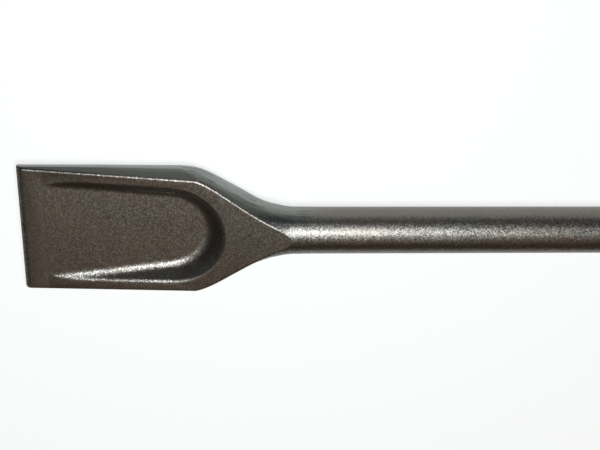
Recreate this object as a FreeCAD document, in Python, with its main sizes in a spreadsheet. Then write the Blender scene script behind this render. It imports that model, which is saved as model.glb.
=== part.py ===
import FreeCAD, Part
import math
import os

import Sketcher

# Wide flat chisel for a rotary hammer, forged from one round bar.
# Origin: centre of the struck end face. +X runs to the cutting edge and +Z stands off the scooped face.
# Millimetres and degrees.
DRIVING_SIZES = {
    "overall_length": 250.0,
    "shank_diameter": 10.0,
    "shank_length": 58.0,
    "end_chamfer": 1.2,
    "drive_slot_width": 2.75,
    "drive_slot_depth": 1.3,
    "drive_slot_length": 36.0,
    "drive_cutter_radius": 12.0,
    "lock_groove_start": 14.0,
    "lock_groove_length": 20.5,
    "lock_groove_radius": 3.5,
    "lock_groove_depth": 1.9,
    "body_diameter": 14.0,
    "collar_length": 4.0,
    "neck_lead": 4.0,
    "neck_radius": 30.9,
    "neck_drop": 0.6,
    "flare_angle": 31.75,
    "shoulder_radius": 17.0,
    "shoulder_stock": 1.5,
    "edge_stock": 0.35,
    "blank_flatness_ratio": 0.72,
    "blade_drop": 0.26,
    "blade_length": 51.84,
    "shoulder_width": 37.3,
    "edge_width": 40.5,
    "side_lean_angle": 17.0,
    "face_end_lead": 3.0,
    "edge_height": 4.22,
    "edge_land": 0.3,
    "bevel_top": 0.18,
    "bevel_run": 2.1,
    "bevel_drop": 1.75,
    "back_bevel_run": 1.2,
    "back_flat_lead": 22.3,
    "back_clearance": 0.03,
    "rim_width": 3.25,
    "scoop_end_lead": 7.7,
    "scoop_wall_angle": 33.0,
    "scoop_floor_radius": 3.6,
    "scoop_rim_radius": 1.5,
    "web_thickness": 4.85,
    "floor_angle": 2.2,
    "crest_radius": 0.9,
    "back_edge_radius": 2.0,
    "corner_radius": 0.7,
}
# Sizes that follow from the driving ones. Distances are counted back from the cutting edge.
DERIVED_SIZES = {
    "half_shank": "shank_diameter / 2",
    "half_body": "body_diameter / 2",
    "half_edge": "edge_width / 2",
    "half_shoulder": "shoulder_width / 2",
    "half_blank_edge": "half_edge + edge_stock",
    "half_blank_shoulder": "half_shoulder + shoulder_stock",
    "half_neck_end": "half_body + neck_radius * (1 - cos(flare_angle))",
    "side_narrowing": "(half_edge - half_shoulder) / blade_length",
    "shoulder_tangent": "shoulder_radius * tan(flare_angle / 2)",
    "blade_start": "blade_length - shoulder_tangent",
    "flare_start": "blade_length + (half_blank_shoulder - half_neck_end) / tan(flare_angle)",
    "neck_distance": "flare_start + neck_radius * sin(flare_angle)",
    "bar_end": "neck_distance + neck_lead",
    "face_end": "neck_distance - face_end_lead",
    "face_slope": "(half_body + bevel_top) / (face_end - bevel_run)",
    "land_top": "bevel_top + bevel_drop",
    "land_bottom": "land_top + edge_land",
    "bevel_slope": "bevel_drop / bevel_run",
    "back_bevel_slope": "(edge_height - land_bottom) / back_bevel_run",
    "back_flat_start": "neck_distance - back_flat_lead",
    "back_flat_height": "half_body + back_clearance",
    "scoop_radius": "half_shoulder - rim_width",
    "scoop_end": "blade_length + scoop_end_lead",
    "scoop_centre": "scoop_end - scoop_radius",
    "tool_margin": "body_diameter",
    "scoop_tool_depth": "half_body + web_thickness",
}
# The curves of the neck and the shoulder are each followed by this many equal steps.
NECK_STEPS = 4
SHOULDER_STEPS = 3
# Each cross-section starts and ends at its lowest point, where the flat of the back takes the seam away.
SEAM_ANGLE = 270
# An edge shorter than this along the tool counts as going straight across it.
STRAIGHT_ACROSS = 1.0
# A flat that leans by less than this angle counts as the face or the back.
FACING_ANGLE = 25
# Two things nearer than this touch.
TOUCHING = 0.02


def fill_sheet(sheet):
    rows = [(name, str(value)) for name, value in DRIVING_SIZES.items()]
    rows += [(name, f"={formula}") for name, formula in DERIVED_SIZES.items()]
    for row, (name, content) in enumerate(rows, start=1):
        sheet.set(f"A{row}", name)
        sheet.setAlias(f"B{row}", name)
        sheet.set(f"B{row}", content)


def size(name):
    return f"Sizes.{name}"


def value_of(sheet, expression):
    found = sheet.evalExpression(str(expression))
    return float(getattr(found, "Value", found))


def from_edge(distance):
    """X of a point that lies a distance back from the cutting edge."""
    return f"({size('overall_length')} - ({distance}))"


def plane_of(body, role):
    return next(plane for plane in body.Origin.OriginFeatures if plane.Role == role)


def add_body(doc, name):
    body = doc.addObject("PartDesign::Body", name)
    body.Label = name
    return body


def add_sketch(body, name, role):
    sketch = body.newObject("Sketcher::SketchObject", name)
    sketch.AttachmentSupport = [(plane_of(body, role), "")]
    sketch.MapMode = "FlatFace"
    return sketch


def name_and_bind(sketch, index, name, expression):
    sketch.renameConstraint(index, name)
    sketch.setExpression(f"Constraints.{name}", expression)


def hold_point(sheet, sketch, line, name, axis, expression):
    """Ties the start of a line to the sketch's origin along one axis."""
    on_axis = {"X": -2, "Y": -1}[axis]
    distance = value_of(sheet, expression)
    if abs(distance) < 1e-9:
        sketch.addConstraint(Sketcher.Constraint("PointOnObject", line, 1, on_axis))
        return
    ends = (-1, 1, line, 1) if distance > 0 else (line, 1, -1, 1)
    index = sketch.addConstraint(Sketcher.Constraint(f"Distance{axis}", *ends, abs(distance)))
    signed = expression if distance > 0 else f"-({expression})"
    name_and_bind(sketch, index, name, signed)


def add_outline(sheet, sketch, corners):
    """Draws a closed outline through corners, each a pair of expressions tied to the sheet."""
    places = [FreeCAD.Vector(value_of(sheet, x), value_of(sheet, y), 0) for x, y in corners]
    count = len(places)
    for i in range(count):
        sketch.addGeometry(Part.LineSegment(places[i], places[(i + 1) % count]), False)
    for i in range(count):
        sketch.addConstraint(Sketcher.Constraint("Coincident", i, 2, (i + 1) % count, 1))
    for i, (x, y) in enumerate(corners):
        hold_point(sheet, sketch, i, f"corner{i}_x", "X", x)
        hold_point(sheet, sketch, i, f"corner{i}_y", "Y", y)


def add_revolved_bar(doc, sheet):
    """Shank, collar and round body as one turned bar, up to the start of the forged neck."""
    bar = add_body(doc, "round_bar")
    half_shank = size("half_shank")
    half_body = size("half_body")
    collar_end = f"{size('shank_length')} + {size('collar_length')}"
    bar_end = from_edge(size("bar_end"))
    profile = add_sketch(bar, "bar_profile", "XZ_Plane")
    add_outline(
        sheet,
        profile,
        [
            ("0", "0"),
            ("0", f"{half_shank} - {size('end_chamfer')}"),
            (size("end_chamfer"), half_shank),
            (size("shank_length"), half_shank),
            (collar_end, half_body),
            (bar_end, half_body),
            (bar_end, "0"),
        ],
    )
    turned = bar.newObject("PartDesign::Revolution", "turned_bar")
    turned.Profile = profile
    turned.ReferenceAxis = (profile, ["H_Axis"])
    turned.Angle = 360
    bar.Tip = turned
    doc.recompute()
    return bar


def add_drive_slots(doc, sheet, bar):
    """The two slots, open at the end face, that turn the tool."""
    half_shank = size("half_shank")
    bottom = f"{half_shank} - {size('drive_slot_depth')}"
    above = f"{half_shank} + {size('drive_slot_depth')}"
    profile = add_sketch(bar, "drive_slot_profile", "XY_Plane")
    start = FreeCAD.Vector(0, value_of(sheet, bottom), 0)
    floor_end = FreeCAD.Vector(value_of(sheet, size("drive_slot_length")), start.y, 0)
    radius = value_of(sheet, size("drive_cutter_radius"))
    top = value_of(sheet, above)
    centre = FreeCAD.Vector(floor_end.x, floor_end.y + radius, 0)
    sweep = math.acos((centre.y - top) / radius)
    arc_end = FreeCAD.Vector(centre.x + radius * math.sin(sweep), top, 0)
    corner = FreeCAD.Vector(0, top, 0)
    profile.addGeometry(Part.LineSegment(start, floor_end), False)
    circle = Part.Circle(centre, FreeCAD.Vector(0, 0, 1), radius)
    profile.addGeometry(Part.ArcOfCircle(circle, -math.pi / 2, -math.pi / 2 + sweep), False)
    profile.addGeometry(Part.LineSegment(arc_end, corner), False)
    profile.addGeometry(Part.LineSegment(corner, start), False)
    for first, second, third, fourth in ((0, 2, 1, 1), (1, 2, 2, 1), (2, 2, 3, 1), (3, 2, 0, 1)):
        profile.addConstraint(Sketcher.Constraint("Coincident", first, second, third, fourth))
    profile.addConstraint(Sketcher.Constraint("Horizontal", 0))
    profile.addConstraint(Sketcher.Constraint("Horizontal", 2))
    profile.addConstraint(Sketcher.Constraint("PointOnObject", 0, 1, -2))
    profile.addConstraint(Sketcher.Constraint("PointOnObject", 2, 2, -2))
    profile.addConstraint(Sketcher.Constraint("Vertical", 1, 3, 0, 2))
    bound = (
        ("slot_floor", Sketcher.Constraint("DistanceY", -1, 1, 0, 1, start.y), bottom),
        ("slot_top", Sketcher.Constraint("DistanceY", -1, 1, 2, 2, top), above),
        ("slot_length", Sketcher.Constraint("DistanceX", 0, 1, 0, 2, floor_end.x), size("drive_slot_length")),
        ("cutter_radius", Sketcher.Constraint("Radius", 1, radius), size("drive_cutter_radius")),
    )
    for name, constraint, expression in bound:
        name_and_bind(profile, profile.addConstraint(constraint), name, expression)
    slot = bar.newObject("PartDesign::Pocket", "drive_slot")
    slot.Profile = profile
    slot.Type = 0
    slot.Midplane = True
    slot.setExpression("Length", size("drive_slot_width"))
    opposite = bar.newObject("PartDesign::Mirrored", "drive_slot_opposite")
    opposite.Originals = [slot]
    opposite.MirrorPlane = (plane_of(bar, "XZ_Plane"), [""])
    bar.Tip = opposite
    doc.recompute()


def add_lock_grooves(doc, sheet, bar):
    """The two closed grooves that the holder's balls lock in, cut by a ball that travels along the shank."""
    half_shank = size("half_shank")
    radius = size("lock_groove_radius")
    axis_height = f"{half_shank} - {size('lock_groove_depth')} + {radius}"
    first_ball = f"{size('lock_groove_start')} + {radius}"
    last_ball = f"{size('lock_groove_start')} + {size('lock_groove_length')} - {radius}"
    profile = add_sketch(bar, "lock_groove_profile", "XZ_Plane")
    r = value_of(sheet, radius)
    z = value_of(sheet, axis_height)
    x0 = value_of(sheet, first_ball)
    x1 = value_of(sheet, last_ball)
    up = FreeCAD.Vector(0, 0, 1)
    ends = [FreeCAD.Vector(x0 - r, z, 0), FreeCAD.Vector(x1 + r, z, 0)]
    bottoms = [FreeCAD.Vector(x0, z - r, 0), FreeCAD.Vector(x1, z - r, 0)]
    first_circle = Part.Circle(FreeCAD.Vector(x0, z, 0), up, r)
    last_circle = Part.Circle(FreeCAD.Vector(x1, z, 0), up, r)
    profile.addGeometry(Part.LineSegment(ends[1], ends[0]), False)
    profile.addGeometry(Part.ArcOfCircle(first_circle, math.pi, 1.5 * math.pi), False)
    profile.addGeometry(Part.LineSegment(bottoms[0], bottoms[1]), False)
    profile.addGeometry(Part.ArcOfCircle(last_circle, 1.5 * math.pi, 2 * math.pi), False)
    for first, second, third, fourth in ((0, 2, 1, 1), (1, 2, 2, 1), (2, 2, 3, 1), (3, 2, 0, 1)):
        profile.addConstraint(Sketcher.Constraint("Coincident", first, second, third, fourth))
    profile.addConstraint(Sketcher.Constraint("Horizontal", 0))
    profile.addConstraint(Sketcher.Constraint("Horizontal", 2))
    profile.addConstraint(Sketcher.Constraint("PointOnObject", 1, 3, 0))
    profile.addConstraint(Sketcher.Constraint("PointOnObject", 3, 3, 0))
    profile.addConstraint(Sketcher.Constraint("Vertical", 1, 3, 1, 2))
    profile.addConstraint(Sketcher.Constraint("Vertical", 3, 3, 3, 1))
    bound = (
        ("ball_radius", Sketcher.Constraint("Radius", 1, r), radius),
        ("axis_height", Sketcher.Constraint("DistanceY", -1, 1, 0, 2, z), axis_height),
        ("first_ball", Sketcher.Constraint("DistanceX", -1, 1, 1, 3, x0), first_ball),
        ("last_ball", Sketcher.Constraint("DistanceX", -1, 1, 3, 3, x1), last_ball),
    )
    for name, constraint, expression in bound:
        name_and_bind(profile, profile.addConstraint(constraint), name, expression)
    groove = bar.newObject("PartDesign::Groove", "lock_groove")
    groove.Profile = profile
    groove.ReferenceAxis = (profile, ["Edge1"])
    groove.Angle = 360
    opposite = bar.newObject("PartDesign::Mirrored", "lock_groove_opposite")
    opposite.Originals = [groove]
    opposite.MirrorPlane = (plane_of(bar, "XY_Plane"), [""])
    bar.Tip = opposite
    doc.recompute()


def add_section(doc, name, distance, half_width, half_height, drop):
    """One cross-section of the blank. The neck's sections are round and leave half_height out."""
    kind, width_name = ("Part::Circle", "Radius") if half_height is None else ("Part::Ellipse", "MajorRadius")
    section = doc.addObject(kind, name)
    section.Placement = FreeCAD.Placement(FreeCAD.Vector(), FreeCAD.Rotation(FreeCAD.Vector(1, 1, 1), 120))
    section.Angle1 = SEAM_ANGLE
    section.Angle2 = SEAM_ANGLE
    section.setExpression("Placement.Base.x", from_edge(distance))
    section.setExpression("Placement.Base.z", f"-({drop})")
    section.setExpression(width_name, half_width)
    if half_height is not None:
        section.setExpression("MinorRadius", half_height)
    return section


def oval_height(half_width):
    """The sections flatten as they widen, from round at the end of the neck."""
    start, end = size("half_neck_end"), size("half_blank_shoulder")
    widened = f"(({half_width}) - {start}) / ({end} - {start})"
    return f"({half_width}) * (1 - (1 - {size('blank_flatness_ratio')}) * {widened})"


def add_neck_and_flare(doc):
    angle = size("flare_angle")
    sections = [add_section(doc, "neck_lead", size("bar_end"), size("half_body"), None, "0")]
    for i in range(NECK_STEPS + 1):
        turned = f"({angle} * {i} / {NECK_STEPS})"
        distance = f"{size('neck_distance')} - {size('neck_radius')} * sin({turned})"
        radius = f"{size('half_body')} + {size('neck_radius')} * (1 - cos({turned}))"
        drop = f"{size('neck_drop')} * (1 - cos({turned})) / (1 - cos({angle}))"
        sections.append(add_section(doc, f"neck_{i}", distance, radius, None, drop))
    arc_start = f"({size('blade_length')} + {size('shoulder_tangent')} * cos({angle}))"
    arc_half = f"({size('half_blank_shoulder')} - {size('shoulder_tangent')} * sin({angle}))"
    middle = f"({size('flare_start')} + {arc_start}) / 2"
    middle_half = f"({size('half_neck_end')} + {arc_half}) / 2"
    middle_drop = f"({size('neck_drop')} + {size('blade_drop')}) / 2"
    sections.append(add_section(doc, "flare", middle, middle_half, oval_height(middle_half), middle_drop))
    for i in range(SHOULDER_STEPS, -1, -1):
        turned = f"({angle} * {i} / {SHOULDER_STEPS})"
        distance = f"{size('blade_start')} + {size('shoulder_radius')} * sin({turned})"
        half = f"{size('half_blank_shoulder')} - {size('shoulder_radius')} * (1 - cos({turned}))"
        name = f"shoulder_{SHOULDER_STEPS - i}"
        sections.append(add_section(doc, name, distance, half, oval_height(half), size("blade_drop")))
    doc.recompute()
    return add_loft(doc, "neck_and_flare", sections, False), sections[-1]


def add_blade_blank(doc, shoulder):
    half = size("half_blank_edge")
    edge = add_section(doc, "edge", "0", half, f"{half} * {size('blank_flatness_ratio')}", size("blade_drop"))
    return add_loft(doc, "blade_blank", [shoulder, edge], True)


def add_loft(doc, name, sections, ruled):
    loft = doc.addObject("Part::Loft", name)
    loft.Sections = sections
    loft.Solid = True
    loft.Ruled = ruled
    doc.recompute()
    return loft


def add_plate(doc, sheet, name, corners):
    """A side-view outline made into a plate wider than the tool."""
    body = add_body(doc, name)
    sketch = add_sketch(body, f"{name}_outline", "XZ_Plane")
    add_outline(sheet, sketch, corners)
    pad = body.newObject("PartDesign::Pad", f"{name}_plate")
    pad.Profile = sketch
    pad.Type = 0
    pad.Midplane = True
    pad.setExpression("Length", f"4 * {size('half_blank_edge')}")
    body.Tip = pad
    doc.recompute()
    return body


def face_height(distance):
    """Height over the axis of the sloping face, which runs out on top of the round body."""
    return f"(({distance} - {size('bevel_run')}) * {size('face_slope')} - {size('bevel_top')})"


def floor_height(distance):
    """Height of the scoop's floor, which keeps some thickness of blade over the back."""
    return f"({size('web_thickness')} - {size('edge_height')} - ({distance}) * tan({size('floor_angle')}))"


def add_side_view(doc, sheet):
    """What is left in side view before the edge is ground: sloping face, tapered back and the back's flat."""
    margin = size("tool_margin")
    face_meets_top = f"({size('bevel_run')} + ({margin} + {size('bevel_top')}) / {size('face_slope')})"
    return add_plate(
        doc,
        sheet,
        "side_view",
        [
            (from_edge("0"), f"-{size('edge_height')}"),
            (from_edge("0"), face_height("0")),
            (from_edge(face_meets_top), margin),
            (f"-{margin}", margin),
            (f"-{margin}", f"-{size('back_flat_height')}"),
            (from_edge(size("back_flat_start")), f"-{size('back_flat_height')}"),
        ],
    )


def add_ground_edge(doc, sheet):
    """What grinding leaves in side view: a bevel on the face, a steeper one behind and a land between."""
    margin = size("tool_margin")
    bevel_meets_top = f"(({margin} + {size('land_top')}) / {size('bevel_slope')})"
    bevel_meets_bottom = f"(({margin} - {size('land_bottom')}) / {size('back_bevel_slope')})"
    return add_plate(
        doc,
        sheet,
        "ground_edge",
        [
            (from_edge("0"), f"-{size('land_bottom')}"),
            (from_edge("0"), f"-{size('land_top')}"),
            (from_edge(bevel_meets_top), margin),
            (f"-{margin}", margin),
            (f"-{margin}", f"-{margin}"),
            (from_edge(bevel_meets_bottom), f"-{margin}"),
        ],
    )


def add_side_trims(doc, sheet):
    """The flats along both sides of the blade, which make its crest lines straight."""
    half_edge = size("half_edge")
    crest = face_height("0")
    margin = size("tool_margin")
    lean = f"tan({size('side_lean_angle')})"
    far = f"(2 * {size('half_blank_edge')})"
    body = add_body(doc, "side_trim")
    sketch = add_sketch(body, "side_trim_outline", "YZ_Plane")
    add_outline(
        sheet,
        sketch,
        [
            (f"{half_edge} - ({margin} - {crest}) * {lean}", margin),
            (f"{half_edge} + ({margin} + {crest}) * {lean}", f"-{margin}"),
            (far, f"-{margin}"),
            (far, margin),
        ],
    )
    doc.recompute()
    trim = doc.addObject("Part::Extrusion", "side_trim_left")
    trim.Base = sketch
    trim.DirMode = "Custom"
    trim.Solid = True
    trim.setExpression("Dir.x", "-1")
    trim.setExpression("Dir.y", f"-{size('side_narrowing')}")
    trim.setExpression("Dir.z", size("face_slope"))
    trim.setExpression("LengthFwd", f"{size('blade_length')} + 2 * {size('shoulder_radius')}")
    trim.setExpression("LengthRev", size("shoulder_radius"))
    trim.setExpression("Placement.Base.x", size("overall_length"))
    opposite = doc.addObject("Part::Mirroring", "side_trim_right")
    opposite.Source = trim
    opposite.Normal = FreeCAD.Vector(0, 1, 0)
    doc.recompute()
    return [trim, opposite]


def add_scoop_outline(sheet, body):
    """The U of the scoop, drawn on the sloping face about the centre of its round end."""
    sketch = add_sketch(body, "scoop_outline", "XY_Plane")
    spread = math.atan(value_of(sheet, size("side_narrowing")))
    r = value_of(sheet, size("scoop_radius"))
    length = value_of(sheet, scoop_reach())
    turn = (math.sin(spread), math.cos(spread))
    left = FreeCAD.Vector(-r * turn[0], r * turn[1], 0)
    right = FreeCAD.Vector(left.x, -left.y, 0)
    far_left = FreeCAD.Vector(length, left.y + (length - left.x) * math.tan(spread), 0)
    far_right = FreeCAD.Vector(length, -far_left.y, 0)
    circle = Part.Circle(FreeCAD.Vector(), FreeCAD.Vector(0, 0, 1), r)
    sketch.addGeometry(Part.ArcOfCircle(circle, math.pi / 2 + spread, 1.5 * math.pi - spread), False)
    sketch.addGeometry(Part.LineSegment(right, far_right), False)
    sketch.addGeometry(Part.LineSegment(far_right, far_left), False)
    sketch.addGeometry(Part.LineSegment(far_left, left), False)
    sketch.addConstraint(Sketcher.Constraint("Tangent", 0, 2, 1, 1))
    sketch.addConstraint(Sketcher.Constraint("Tangent", 3, 2, 0, 1))
    sketch.addConstraint(Sketcher.Constraint("Coincident", 1, 2, 2, 1))
    sketch.addConstraint(Sketcher.Constraint("Coincident", 2, 2, 3, 1))
    sketch.addConstraint(Sketcher.Constraint("Coincident", 0, 3, -1, 1))
    sketch.addConstraint(Sketcher.Constraint("Symmetric", 1, 2, 2, 2, -1))
    narrowing = size("side_narrowing")
    far_half_width = f"{scoop_reach()} * {narrowing} + {size('scoop_radius')} * sqrt(1 + {narrowing}^2)"
    bound = (
        ("end_radius", Sketcher.Constraint("Radius", 0, r), size("scoop_radius")),
        ("reach", Sketcher.Constraint("DistanceX", -1, 1, 1, 2, length), scoop_reach()),
        ("far_half_width", Sketcher.Constraint("DistanceY", -1, 1, 2, 2, far_left.y), far_half_width),
    )
    for name, constraint, expression in bound:
        name_and_bind(sketch, sketch.addConstraint(constraint), name, expression)
    return sketch


def scoop_reach():
    """How far the scoop's cutter runs from the centre of its round end, past the cutting edge."""
    return f"({size('scoop_centre')} + {size('tool_margin')})"


def add_scoop_cutter(doc, sheet):
    """The tapered U that is taken out of the blade, with a flat floor and a rounded foot."""
    body = add_body(doc, "scoop_walls")
    sketch = add_scoop_outline(sheet, body)
    walls = body.newObject("PartDesign::Pad", "scoop_taper")
    walls.Profile = sketch
    walls.SideType = "Two sides"
    walls.setExpression("Length", size("half_body"))
    walls.setExpression("Length2", size("scoop_tool_depth"))
    walls.setExpression("TaperAngle", size("scoop_wall_angle"))
    walls.setExpression("TaperAngle2", f"-{size('scoop_wall_angle')}")
    body.Tip = walls
    body.Placement = FreeCAD.Placement(FreeCAD.Vector(), FreeCAD.Rotation(FreeCAD.Vector(0, 1, 0), 1))
    body.setExpression("Placement.Rotation.Angle", f"atan({size('face_slope')})")
    body.setExpression("Placement.Base.x", from_edge(size("scoop_centre")))
    body.setExpression("Placement.Base.z", face_height(size("scoop_centre")))
    margin = size("tool_margin")
    before = f"-2 * {margin}"
    behind = f"({size('scoop_end')} + 2 * {margin})"
    above = add_plate(
        doc,
        sheet,
        "above_floor",
        [
            (from_edge(before), floor_height(before)),
            (from_edge(before), f"2 * {margin}"),
            (from_edge(behind), f"2 * {margin}"),
            (from_edge(behind), floor_height(behind)),
        ],
    )
    cutter = doc.addObject("Part::Common", "scoop_flat_floor")
    cutter.Base = body
    cutter.Tool = above
    doc.recompute()
    return cutter


def is_plane(face):
    return type(face.Surface).__name__ == "Plane"


def lies_flat(face, way):
    """True for a flat whose outward side looks up (way = 1) or down (way = -1)."""
    return is_plane(face) and way * face.normalAt(0, 0).z > math.cos(math.radians(FACING_ANGLE))


def edge_number(shape, wanted):
    return next(n for n, edge in enumerate(shape.Edges, start=1) if edge.isSame(wanted))


def runs_lengthwise(edge):
    """True for an edge that runs along the tool, False for one that goes straight across it."""
    return edge.BoundBox.XLength > STRAIGHT_ACROSS


def mid_point(edge):
    return edge.valueAt((edge.FirstParameter + edge.LastParameter) / 2)


def add_rounded(doc, name, base, pick, radius):
    """A body that takes over a finished shape and rounds the edges that pick names in it."""
    body = add_body(doc, name)
    body.BaseFeature = base
    doc.recompute()
    feature = body.Tip
    fillet = body.newObject("PartDesign::Fillet", f"{name}_edges")
    edges = pick(feature.Shape)
    if not edges:
        raise RuntimeError(f"{name} found no edge to round")
    fillet.Base = (feature, [f"Edge{edge_number(feature.Shape, edge)}" for edge in edges])
    fillet.setExpression("Radius", radius)
    body.Tip = fillet
    doc.recompute()
    return body


def foot_edges(shape):
    """Where the scoop's walls meet its floor."""
    floor = min((face for face in shape.Faces if is_plane(face)), key=lambda face: face.normalAt(0, 0).z)
    return [edge for edge in floor.Edges if runs_lengthwise(edge)]


def face_edges(shape):
    """Every edge of the sloping face that the scoop is sunk in."""
    tops = [face for face in shape.Faces if lies_flat(face, 1) and face.normalAt(0, 0).x > 0]
    return max(tops, key=lambda face: face.BoundBox.XLength).Edges


def touches(edge, shape):
    return Part.Vertex(mid_point(edge)).distToShape(shape)[0] < TOUCHING


def rim_edges(shape, cutter):
    return [edge for edge in face_edges(shape) if touches(edge, cutter)]


def crest_edges(shape, cutter):
    return [edge for edge in face_edges(shape) if runs_lengthwise(edge) and not touches(edge, cutter)]


def back_edges(shape):
    """Both sides of the flat back, from the cutting edge round the end of the flat at the neck."""
    back = max((face for face in shape.Faces if lies_flat(face, -1)), key=lambda face: face.Area)
    return [edge for edge in back.Edges if runs_lengthwise(edge)]


def plan_corners(shape):
    """The two upright corners of the plan outline at the cutting edge."""
    end = shape.BoundBox.XMax
    at_end = [edge for edge in shape.Edges if edge.BoundBox.XMin > end - TOUCHING]
    return [edge for edge in at_end if edge.BoundBox.YLength < TOUCHING]


def add_plan_view(doc, sheet):
    """What is left in plan: the blade's corners are rounded at the cutting edge."""
    half = size("half_blank_edge")
    start = f"-{size('tool_margin')}"
    body = add_body(doc, "plan_outline")
    sketch = add_sketch(body, "plan_sketch", "XY_Plane")
    add_outline(
        sheet,
        sketch,
        [(start, f"-{half}"), (from_edge("0"), f"-{half}"), (from_edge("0"), half), (start, half)],
    )
    pad = body.newObject("PartDesign::Pad", "plan_plate")
    pad.Profile = sketch
    pad.Type = 0
    pad.Midplane = True
    pad.setExpression("Length", f"4 * {size('tool_margin')}")
    body.Tip = pad
    doc.recompute()
    return add_rounded(doc, "plan_view", body, plan_corners, size("corner_radius"))


def add_pair(doc, kind, name, base, tool):
    feature = doc.addObject(kind, name)
    feature.Base = base
    feature.Tool = tool
    doc.recompute()
    return feature


def check_document(doc):
    for item in doc.Objects:
        if "Invalid" in item.State or "Error" in item.State:
            raise RuntimeError(f"{item.Label} did not build")


def write_node(body):
    shape = body.Shape
    if shape.isNull() or not shape.isValid() or len(shape.Solids) != 1:
        raise RuntimeError(f"{body.Label} is not one sound solid")
    os.makedirs("parts", exist_ok=True)
    shape.exportStep(os.path.join("parts", f"{body.Label}.step"))


def main():
    doc = FreeCAD.newDocument("chisel_document")
    sheet = doc.addObject("Spreadsheet::Sheet", "Sizes")
    fill_sheet(sheet)
    doc.recompute()
    bar = add_revolved_bar(doc, sheet)
    add_drive_slots(doc, sheet, bar)
    add_lock_grooves(doc, sheet, bar)
    flare, shoulder = add_neck_and_flare(doc)
    blank = add_blade_blank(doc, shoulder)
    whole = doc.addObject("Part::MultiFuse", "forged_bar")
    whole.Shapes = [bar, flare, blank]
    doc.recompute()
    shaped = add_pair(doc, "Part::Common", "flattened", whole, add_side_view(doc, sheet))
    for number, trim in enumerate(add_side_trims(doc, sheet), start=1):
        shaped = add_pair(doc, "Part::Cut", f"side_trimmed_{number}", shaped, trim)
    eased = add_rounded(doc, "back_rounded", shaped, back_edges, size("back_edge_radius"))
    sharp_cutter = add_scoop_cutter(doc, sheet)
    cutter = add_rounded(doc, "scoop_cutter", sharp_cutter, foot_edges, size("scoop_floor_radius"))
    scooped = add_pair(doc, "Part::Cut", "scooped", eased, cutter)
    rimmed = add_rounded(
        doc, "rim_rounded", scooped, lambda shape: rim_edges(shape, cutter.Shape), size("scoop_rim_radius")
    )
    crested = add_rounded(
        doc, "crest_rounded", rimmed, lambda shape: crest_edges(shape, cutter.Shape), size("crest_radius")
    )
    ground = add_pair(doc, "Part::Common", "ground", crested, add_ground_edge(doc, sheet))
    chisel = add_pair(doc, "Part::Common", "chisel", ground, add_plan_view(doc, sheet))
    check_document(doc)
    write_node(chisel)


main()
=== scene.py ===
import math

import bmesh
import bpy
from mathutils import Matrix, Vector


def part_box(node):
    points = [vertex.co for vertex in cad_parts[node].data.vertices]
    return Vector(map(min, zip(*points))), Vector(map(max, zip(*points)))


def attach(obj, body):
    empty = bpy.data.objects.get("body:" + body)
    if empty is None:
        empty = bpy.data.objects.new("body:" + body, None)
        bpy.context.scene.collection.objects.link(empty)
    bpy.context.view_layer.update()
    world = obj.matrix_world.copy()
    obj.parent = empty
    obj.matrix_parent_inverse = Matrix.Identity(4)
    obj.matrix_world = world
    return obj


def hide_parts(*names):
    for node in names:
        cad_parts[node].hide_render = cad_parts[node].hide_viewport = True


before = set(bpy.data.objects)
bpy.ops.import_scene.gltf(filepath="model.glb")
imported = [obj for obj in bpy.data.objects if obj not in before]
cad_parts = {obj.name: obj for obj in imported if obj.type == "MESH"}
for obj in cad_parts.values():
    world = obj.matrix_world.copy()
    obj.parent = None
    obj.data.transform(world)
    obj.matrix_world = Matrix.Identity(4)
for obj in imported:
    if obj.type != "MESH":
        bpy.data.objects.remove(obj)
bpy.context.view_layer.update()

bl_info = {
    "name": "Scooped flat chisel",
    "version": (1, 0, 0),
    "blender": (4, 5, 0),
    "location": "View3D > Sidebar > Chisel",
    "description": "Dresses a forged flat chisel for a rotary hammer and sets it on a pale floor",
    "category": "Object",
}

NODE = "chisel"
BODY = "root"
LOW, HIGH = (Vector(corner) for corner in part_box(NODE))
MM = 0.001

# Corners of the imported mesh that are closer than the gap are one, and edges that turn by more than the
# angle stay sharp.
MERGE_GAP = 0.002 * MM
SHARP_ANGLE = math.radians(24)

# The sides of the flare and of the blade meet on a raked line: its place along the tool at no height, and how
# far back it runs for its height.
FACET_END = 200.9 * MM
FACET_RAKE = 0.78

# Each pair from here to the room's holds the values at which a soft mask starts and is full.
# Places along the tool, the raked line's among them.
ON_NECK_SIDE = (FACET_END + 0.5 * MM, FACET_END - 0.5 * MM)
ON_BLADE_SIDE = (FACET_END - 0.5 * MM, FACET_END + 0.5 * MM)
FLARE_BEGINS = (156 * MM, 174 * MM)
# Painted shade on the crests starts here and is full nearer the cutting edge.
CREST_SHADE_BEGINS = (HIGH.x - 34 * MM, HIGH.x - 12 * MM)
RUBBED_BEGINS = (HIGH.x - 8 * MM, HIGH.x - 6.6 * MM)
BEVEL_BEGINS = (HIGH.x - 2.6 * MM, HIGH.x - 2.2 * MM)

# Heights on the flare's sides over which painted shade darkens them towards the crest, and distances from the
# tool's middle plane out to the blade's crests, where painted shade dims them.
SHADE_UNDER_CREST = (0.5 * MM, 4.5 * MM)
OUT_TO_CREST = (17.4 * MM, 18 * MM)

# Components of the surface's direction: across the tool, upwards and towards the cutting edge.
TURNED_SIDEWAYS = (0.55, 0.8)
FULLY_SIDEWAYS = (0.8, 0.93)
LEANING = (0.1, 0.25)
UPRIGHT = (0.25, 0.1)
LYING_FLAT = (0.85, 0.95)
OFF_FLAT = (0.95, 0.85)
GROUND_FORWARD = (0.35, 0.5)

# Values of the noise at which one tone of oxide fades into the other, and how far from the noise's middle a
# flow line fades.
PATCH_FADE = (0.35, 0.65)
LINE_FADE = (0.03, 0.0)

# Components of the way into the room: upwards, and across the table.
ROOM_OVERHEAD = (0.55, 0.95)
ROOM_ACROSS = (-0.2, 0.6)

# Middle of the noise and of a dent's random colour.
MIDDLE = 0.5

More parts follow.
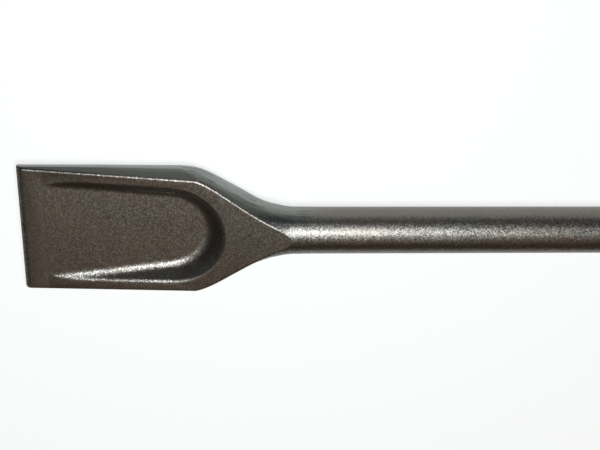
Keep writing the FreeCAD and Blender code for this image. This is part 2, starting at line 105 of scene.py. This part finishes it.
# The flow lines are drawn out: the scale of their noise along, across and up the tool, as shares of the last.
LINE_STRETCH = (0.02, 0.05, 1.0)

# From the floor's middle to its sides.
FLOOR_REACH = 2.5

LAMP_SIZE = 0.15
LAMP_OVER = Vector((0.18, 0, 0))
LAMP_REACH = 0.35
LAMP_TILT = math.radians(17)

# The sensor's width and the lens are in mm, the rest is in metres and radians.
CAMERA_SENSOR = 36
CAMERA_LENS = 75.312
CAMERA_PLACE = (0.19253, -0.18495, 0.32355)
CAMERA_TILT = math.radians(29.52)
CAMERA_YAW = math.radians(-3.794)
CAMERA_ROLL = math.radians(-0.08)


def linear(hex_colour):
    """sRGB hex to the linear RGBA that a shader socket takes."""
    channels = [int(hex_colour[i : i + 2], 16) / 255 for i in (1, 3, 5)]
    return [c / 12.92 if c <= 0.04045 else ((c + 0.055) / 1.055) ** 2.4 for c in channels] + [1.0]


def add_node(owner, kind, settings=None, **inputs):
    """Adds one shader node to a material or world, sets its properties, then fills or links its inputs.

    An input is given by its name, or by _ and its number."""
    node = owner.node_tree.nodes.new(kind)
    for name, value in (settings or {}).items():
        setattr(node, name, value)
    for name, value in inputs.items():
        key = int(name[1:]) if name[0] == "_" else name.replace("_", " ")
        socket = node.inputs[key]
        if isinstance(value, bpy.types.NodeSocket):
            owner.node_tree.links.new(value, socket)
        else:
            socket.default_value = value
    return node


def mask(owner, *ramps):
    """The product of soft steps, each given as a measure and the values at which it starts and is full."""
    share = None
    for measure, (start, full) in ramps:
        step = add_node(
            owner, "ShaderNodeMapRange", {"interpolation_type": "SMOOTHSTEP"},
            Value=measure, From_Min=start, From_Max=full,
        ).outputs["Result"]
        if share is not None:
            step = add_node(owner, "ShaderNodeMath", {"operation": "MULTIPLY"}, _0=share, _1=step).outputs[0]
        share = step
    return share


def new_material(name):
    """An empty material that is built from nodes."""
    material = bpy.data.materials.new(name)
    material.use_nodes = True
    material.node_tree.nodes.clear()
    return material


def colour(name, description, hex_colour):
    """A colour setting that starts at an sRGB hex value."""
    return bpy.props.FloatVectorProperty(
        name=name, description=description, default=linear(hex_colour),
        size=4, min=0, max=1, subtype="COLOR",
    )


class SteelFinish(bpy.types.PropertyGroup):
    brown_tone: colour("Brown oxide", "Colour of the steel where its oxide skin is thicker", "#756f68")
    grey_tone: colour("Grey oxide", "Colour of the steel where its oxide skin is thinner", "#716f6a")
    # Painted shade: a darker tone for the blade's sides, its crests near the cutting edge and the flare's
    # sides towards the crest.
    painted_side_shade: colour("Side scale", "Colour of the scale on the blade's sides and crests", "#50524f")
    # Painted reflection: a paler tone for the flare's sides and the blade's lower edges, standing in for the
    # paper they reflect.
    paper_reflection_tone: colour("Flank", "Colour of the flare's sides and the blade's lower edges", "#858884")
    # Partly scale, partly painted shade in the flow lines' folds.
    lap_scale_and_shade: colour("Flow line", "Colour of the scale caught in a flow line", "#4c4f4c")
    rubbed_tone: colour("Rubbed steel", "Colour of the rubbed strip behind the cutting edge", "#888683")
    ground_tone: colour("Ground steel", "Colour of the ground bevels at the cutting edge", "#757770")
    patch: bpy.props.FloatProperty(
        name="Patch", description="Width of one patch of oxide", default=14 * MM,
        min=1 * MM, unit="LENGTH",
    )
    dent: bpy.props.FloatProperty(
        name="Dent", description="Width of one dent left by the shot", default=0.3 * MM,
        min=0.1 * MM, unit="LENGTH",
    )
    dent_tilt: bpy.props.FloatProperty(
        name="Dent tilt", description="Steepest lean of a dent's floor", default=math.radians(4.8),
        min=0, max=math.radians(45), subtype="ANGLE",
    )
    dullness: bpy.props.FloatProperty(
        name="Dullness", description="Roughness of the steel, 0 for a mirror", default=0.39,
        min=0, max=1, subtype="FACTOR",
    )
    dullness_spread: bpy.props.FloatProperty(
        name="Dullness spread", description="How much duller or shinier than the rest a dent can be",
        default=0.05, min=0, max=1, subtype="FACTOR",
    )
    streak: bpy.props.FloatProperty(
        name="Streak", description="Height of one flow line on the flare's sides", default=1.0 * MM,
        min=0.1 * MM, unit="LENGTH",
    )
    streak_depth: bpy.props.FloatProperty(
        name="Streak depth", description="Depth of one flow line on the flare's sides", default=0.03 * MM,
        min=0, unit="LENGTH",
    )


class StudioLook(bpy.types.PropertyGroup):
    paper_tone: colour("Paper", "Colour of the paper under the tool", "#fafbfa")
    paper_glow: bpy.props.FloatProperty(
        name="Paper glow", description="Share of the paper's white that no shadow darkens", default=0.8,
        min=0, max=1, subtype="FACTOR",
    )
    near_tone: colour("Near room", "Colour of the room on the camera's side", "#c6c8c4")
    far_tone: colour("Far room", "Colour of the room across the table", "#dca866")
    room_low: bpy.props.FloatProperty(
        name="Room at the horizon", description="Brightness of the room level with the table", default=0.07,
        min=0, max=1, subtype="FACTOR",
    )
    room_high: bpy.props.FloatProperty(
        name="Room overhead", description="Brightness of the room straight over the table", default=0.42,
        min=0, max=1, subtype="FACTOR",
    )
    lamp_tone: colour("Lamp", "Colour of the lamp over the tool", "#f3f9ff")
    lamp_power: bpy.props.FloatProperty(
        name="Lamp power", description="Power of the lamp over the tool", default=1.65,
        min=0, unit="POWER",
    )


def blasted_steel(finish):
    """Hardened tool steel, shot-blasted after forging and oiled.

    To the eye it is a dark warm grey with a satin sheen, broken by a fine glitter of shot dents. The
    blade's trimmed sides, its crests near the cutting edge and the flare's sides towards the crest are darker
    with painted shade, which dims what they reflect. The flare's sides and the blade's lower edges are paler
    with a painted reflection of the paper. Dark flow lines run along the flare, and they are partly scale and
    partly painted shade in their folds. A strip behind the cutting edge is rubbed paler, and the bevels are
    ground to a plain grey."""
    material = new_material("shot_blasted_tool_steel")
    coordinates = add_node(material, "ShaderNodeTexCoord")
    place = coordinates.outputs["Object"]
    where = add_node(material, "ShaderNodeSeparateXYZ", None, Vector=place)
    along, height = where.outputs["X"], where.outputs["Z"]
    off_middle = add_node(
        material, "ShaderNodeMath", {"operation": "ABSOLUTE"}, _0=where.outputs["Y"]
    ).outputs[0]
    raked = add_node(
        material, "ShaderNodeMath", {"operation": "MULTIPLY_ADD"}, _0=height, _1=FACET_RAKE, _2=along
    ).outputs[0]
    facing = add_node(material, "ShaderNodeSeparateXYZ", None, Vector=coordinates.outputs["Normal"])
    forward, upward = facing.outputs["X"], facing.outputs["Z"]
    sideways = add_node(
        material, "ShaderNodeMath", {"operation": "ABSOLUTE"}, _0=facing.outputs["Y"]
    ).outputs[0]

    patches = add_node(
        material, "ShaderNodeTexNoise", None,
        Vector=place, Scale=1 / finish.patch, Detail=3.0, Roughness=0.6,
    )
    drawn_out = add_node(
        material, "ShaderNodeMapping", {"vector_type": "POINT"},
        Vector=place, Scale=[stretch / finish.streak for stretch in LINE_STRETCH],
    )
    flow = add_node(
        material, "ShaderNodeTexNoise", None, Vector=drawn_out.outputs[0], Scale=1.0, Detail=2.0
    )
    off_line = add_node(
        material, "ShaderNodeMath", {"operation": "SUBTRACT"}, _0=flow.outputs["Fac"], _1=MIDDLE
    )
    off_line = add_node(
        material, "ShaderNodeMath", {"operation": "ABSOLUTE"}, _0=off_line.outputs[0]
    ).outputs[0]

    on_flank = ((along, FLARE_BEGINS), (raked, ON_NECK_SIDE), (sideways, TURNED_SIDEWAYS))
    lit_lower_edges = ((raked, ON_BLADE_SIDE), (sideways, TURNED_SIDEWAYS), (upward, UPRIGHT))
    shaded_sides = ((raked, ON_BLADE_SIDE), (sideways, FULLY_SIDEWAYS), (upward, LEANING))
    shaded_crests = ((off_middle, OUT_TO_CREST), (upward, OFF_FLAT), (upward, LEANING), (along, CREST_SHADE_BEGINS))

    # Each tone lies over the ones before it, as far as its mask is full.
    tone = finish.brown_tone
    for paint, ramps in (
        (finish.grey_tone, ((patches.outputs["Fac"], PATCH_FADE),)),
        # Painted reflection: the flare's sides and the blade's lower edges get a paler tone, standing in for
        # the paper they reflect.
        (finish.paper_reflection_tone, on_flank),
        (finish.paper_reflection_tone, lit_lower_edges),
        # Painted shade: the blade's sides, the flare's sides towards the crest and the crests near the
        # cutting edge get a darker tone, which dims what they reflect.
        (finish.painted_side_shade, shaded_sides),
        (finish.painted_side_shade, ((height, SHADE_UNDER_CREST), *on_flank)),
        (finish.painted_side_shade, shaded_crests),
        # The flow lines' dark tone is partly scale and partly painted shade in their folds.
        (finish.lap_scale_and_shade, ((off_line, LINE_FADE), *on_flank)),
        (finish.rubbed_tone, ((along, RUBBED_BEGINS), (upward, LYING_FLAT))),
        (finish.ground_tone, ((along, BEVEL_BEGINS), (forward, GROUND_FORWARD))),
    ):
        tone = add_node(
            material, "ShaderNodeMix", {"data_type": "RGBA"},
            _0=mask(material, *ramps), _6=tone, _7=paint,
        ).outputs[2]

    # Real dents are about 0.1 mm wide. They are drawn three times as wide, so that they show.
    dents = add_node(
        material, "ShaderNodeTexVoronoi", {"feature": "F1"},
        Vector=place, Scale=1 / finish.dent, Randomness=1.0,
    )
    lean = add_node(
        material, "ShaderNodeVectorMath", {"operation": "SUBTRACT"},
        _0=dents.outputs["Color"], _1=(MIDDLE, MIDDLE, MIDDLE),
    )
    lean = add_node(
        material, "ShaderNodeVectorMath", {"operation": "SCALE"},
        _0=lean.outputs[0], Scale=2 * math.tan(finish.dent_tilt),
    )
    surface = add_node(material, "ShaderNodeNewGeometry")
    dented = add_node(
        material, "ShaderNodeVectorMath", {"operation": "ADD"},
        _0=surface.outputs["Normal"], _1=lean.outputs[0],
    )
    dented = add_node(material, "ShaderNodeVectorMath", {"operation": "NORMALIZE"}, _0=dented.outputs[0])
    chance = add_node(material, "ShaderNodeSeparateXYZ", None, Vector=dents.outputs["Color"])
    dullness = add_node(
        material, "ShaderNodeMapRange", None, Value=chance.outputs["X"],
        To_Min=finish.dullness - finish.dullness_spread, To_Max=finish.dullness + finish.dullness_spread,
    )
    relief = add_node(
        material, "ShaderNodeBump", None,
        Height=mask(material, (off_line, LINE_FADE), *on_flank), Distance=-finish.streak_depth,
        Strength=1.0, Normal=dented.outputs[0],
    )
    steel = add_node(
        material, "ShaderNodeBsdfPrincipled", None,
        Metallic=1.0, Roughness=dullness.outputs["Result"], Base_Color=tone,
        Normal=relief.outputs["Normal"],
    )
    add_node(material, "ShaderNodeOutputMaterial", None, Surface=steel.outputs["BSDF"])
    return material


def white_paper(look):
    """Smooth matt paper laid on a table: even and white, with no texture of its own.

    For the camera and in reflections part of its white is its own light, which keeps the tool's shadow
    pale."""
    material = new_material("smooth_white_paper")
    rays = add_node(material, "ShaderNodeLightPath")
    seen = add_node(
        material, "ShaderNodeMath", {"operation": "MAXIMUM"},
        _0=rays.outputs["Is Camera Ray"], _1=rays.outputs["Is Glossy Ray"],
    )
    seen_through = add_node(
        material, "ShaderNodeMath", {"operation": "MAXIMUM"},
        _0=seen.outputs[0], _1=rays.outputs["Is Transmission Ray"],
    )
    share = add_node(
        material, "ShaderNodeMath", {"operation": "MULTIPLY"},
        _0=seen_through.outputs[0], _1=look.paper_glow,
    )
    light = add_node(material, "ShaderNodeEmission", None, Color=look.paper_tone, Strength=1.0)
    paper = add_node(material, "ShaderNodeBsdfDiffuse", None, Color=look.paper_tone)
    both = add_node(
        material, "ShaderNodeMixShader", None, _0=share.outputs[0], _1=paper.outputs[0], _2=light.outputs[0]
    )
    add_node(material, "ShaderNodeOutputMaterial", None, Surface=both.outputs[0])
    return material


def table_room(look):
    """A room that is dim level with the table, brighter overhead, and warmer across the table."""
    world = bpy.data.worlds.new("table_room")
    world.use_nodes = True
    world.node_tree.nodes.clear()
    way = add_node(world, "ShaderNodeTexCoord").outputs["Generated"]
    parts = add_node(world, "ShaderNodeSeparateXYZ", None, Vector=way)
    overhead = mask(world, (parts.outputs["Z"], ROOM_OVERHEAD))
    level = add_node(
        world, "ShaderNodeMapRange", None, Value=overhead, To_Min=look.room_low, To_Max=look.room_high
    )
    across = mask(world, (parts.outputs["Y"], ROOM_ACROSS))
    tone = add_node(
        world, "ShaderNodeMix", {"data_type": "RGBA"}, _0=across, _6=look.near_tone, _7=look.far_tone
    )
    light = add_node(world, "ShaderNodeBackground", None, Color=tone.outputs[2], Strength=level.outputs[0])
    add_node(world, "ShaderNodeOutputWorld", None, Surface=light.outputs[0])
    return world


class CHISEL_OT_make_tool(bpy.types.Operator):
    """Lays the finished skin over the forged tool"""

    bl_idname = "chisel.make_tool"
    bl_label = "Make the tool"

    def execute(self, context):
        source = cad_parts[NODE]
        shape = bmesh.new()
        shape.from_mesh(source.data)
        bmesh.ops.remove_doubles(shape, verts=shape.verts, dist=MERGE_GAP)
        bmesh.ops.recalc_face_normals(shape, faces=shape.faces)
        mesh = bpy.data.meshes.new("chisel_skin")
        shape.to_mesh(mesh)
        shape.free()
        mesh.shade_smooth()
        mesh.set_sharp_from_angle(angle=SHARP_ANGLE)
        skin = bpy.data.objects.new("chisel_skin", mesh)
        context.scene.collection.objects.link(skin)
        mesh.materials.append(blasted_steel(context.scene.chisel_steel))
        even = skin.modifiers.new("even_normals", "WEIGHTED_NORMAL")
        even.keep_sharp = True
        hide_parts(NODE)
        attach(skin, BODY)
        return {"FINISHED"}


class CHISEL_OT_make_stage(bpy.types.Operator):
    """Sets the floor, the lamp, the room and the camera"""

    bl_idname = "chisel.make_stage"
    bl_label = "Make the stage"

    def execute(self, context):
        look = context.scene.chisel_studio
        self.add_floor(context, look)
        self.add_light(context, look)
        self.add_camera(context)
        context.scene.view_settings.view_transform = "Standard"
        return {"FINISHED"}

    def add_floor(self, context, look):
        """Lays a square floor under the tool's middle, at its lowest point."""
        shape = bmesh.new()
        bmesh.ops.create_grid(shape, x_segments=1, y_segments=1, size=FLOOR_REACH)
        bmesh.ops.translate(shape, verts=shape.verts, vec=(HIGH.x / 2, 0, LOW.z))
        mesh = bpy.data.meshes.new("floor")
        shape.to_mesh(mesh)
        shape.free()
        mesh.materials.append(white_paper(look))
        floor = bpy.data.objects.new("floor", mesh)
        context.scene.collection.objects.link(floor)

    def add_light(self, context, look):
        """Hangs a small square lamp over the flare, a little to the camera's side, in a dim room."""
        lamp = bpy.data.lights.new("soft_box", "AREA")
        lamp.shape = "SQUARE"
        lamp.size = LAMP_SIZE
        lamp.energy = look.lamp_power
        lamp.color = look.lamp_tone[:3]
        box = bpy.data.objects.new("soft_box", lamp)
        direction = Vector((0, -math.sin(LAMP_TILT), math.cos(LAMP_TILT)))
        place = Matrix.Translation(LAMP_OVER + direction * LAMP_REACH)
        box.matrix_world = place @ direction.to_track_quat("Z", "Y").to_matrix().to_4x4()
        context.scene.collection.objects.link(box)
        context.scene.world = table_room(look)

    def add_camera(self, context):
        """Sets the camera above the tool and to its -Y side, which is the top of the picture."""
        data = bpy.data.cameras.new("camera")
        data.sensor_width = CAMERA_SENSOR
        data.lens = CAMERA_LENS
        camera = bpy.data.objects.new("camera", data)
        place = Matrix.Translation(CAMERA_PLACE)
        for angle, axis in ((math.pi, "Z"), (-CAMERA_TILT, "X"), (CAMERA_YAW, "Y"), (CAMERA_ROLL, "Z")):
            place @= Matrix.Rotation(angle, 4, axis)
        camera.matrix_world = place
        context.scene.collection.objects.link(camera)
        context.scene.camera = camera


class CHISEL_PT_panel(bpy.types.Panel):
    """Lists the settings of the finish and the stage, and the operators"""

    bl_idname = "CHISEL_PT_panel"
    bl_label = "Chisel"
    bl_space_type = "VIEW_3D"
    bl_region_type = "UI"
    bl_category = "Chisel"

    def draw(self, context):
        layout = self.layout
        for group in (context.scene.chisel_steel, context.scene.chisel_studio):
            for name in group.__annotations__:
                layout.prop(group, name)
        layout.operator(CHISEL_OT_make_tool.bl_idname)
        layout.operator(CHISEL_OT_make_stage.bl_idname)


CLASSES = (SteelFinish, StudioLook, CHISEL_OT_make_tool, CHISEL_OT_make_stage, CHISEL_PT_panel)


def register():
    for each in CLASSES:
        bpy.utils.register_class(each)
    bpy.types.Scene.chisel_steel = bpy.props.PointerProperty(type=SteelFinish)
    bpy.types.Scene.chisel_studio = bpy.props.PointerProperty(type=StudioLook)


def unregister():
    del bpy.types.Scene.chisel_studio
    del bpy.types.Scene.chisel_steel
    for each in reversed(CLASSES):
        bpy.utils.unregister_class(each)


def main():
    register()
    bpy.ops.chisel.make_tool()
    bpy.ops.chisel.make_stage()
    bpy.context.view_layer.update()


if __name__ == "__main__":
    main()
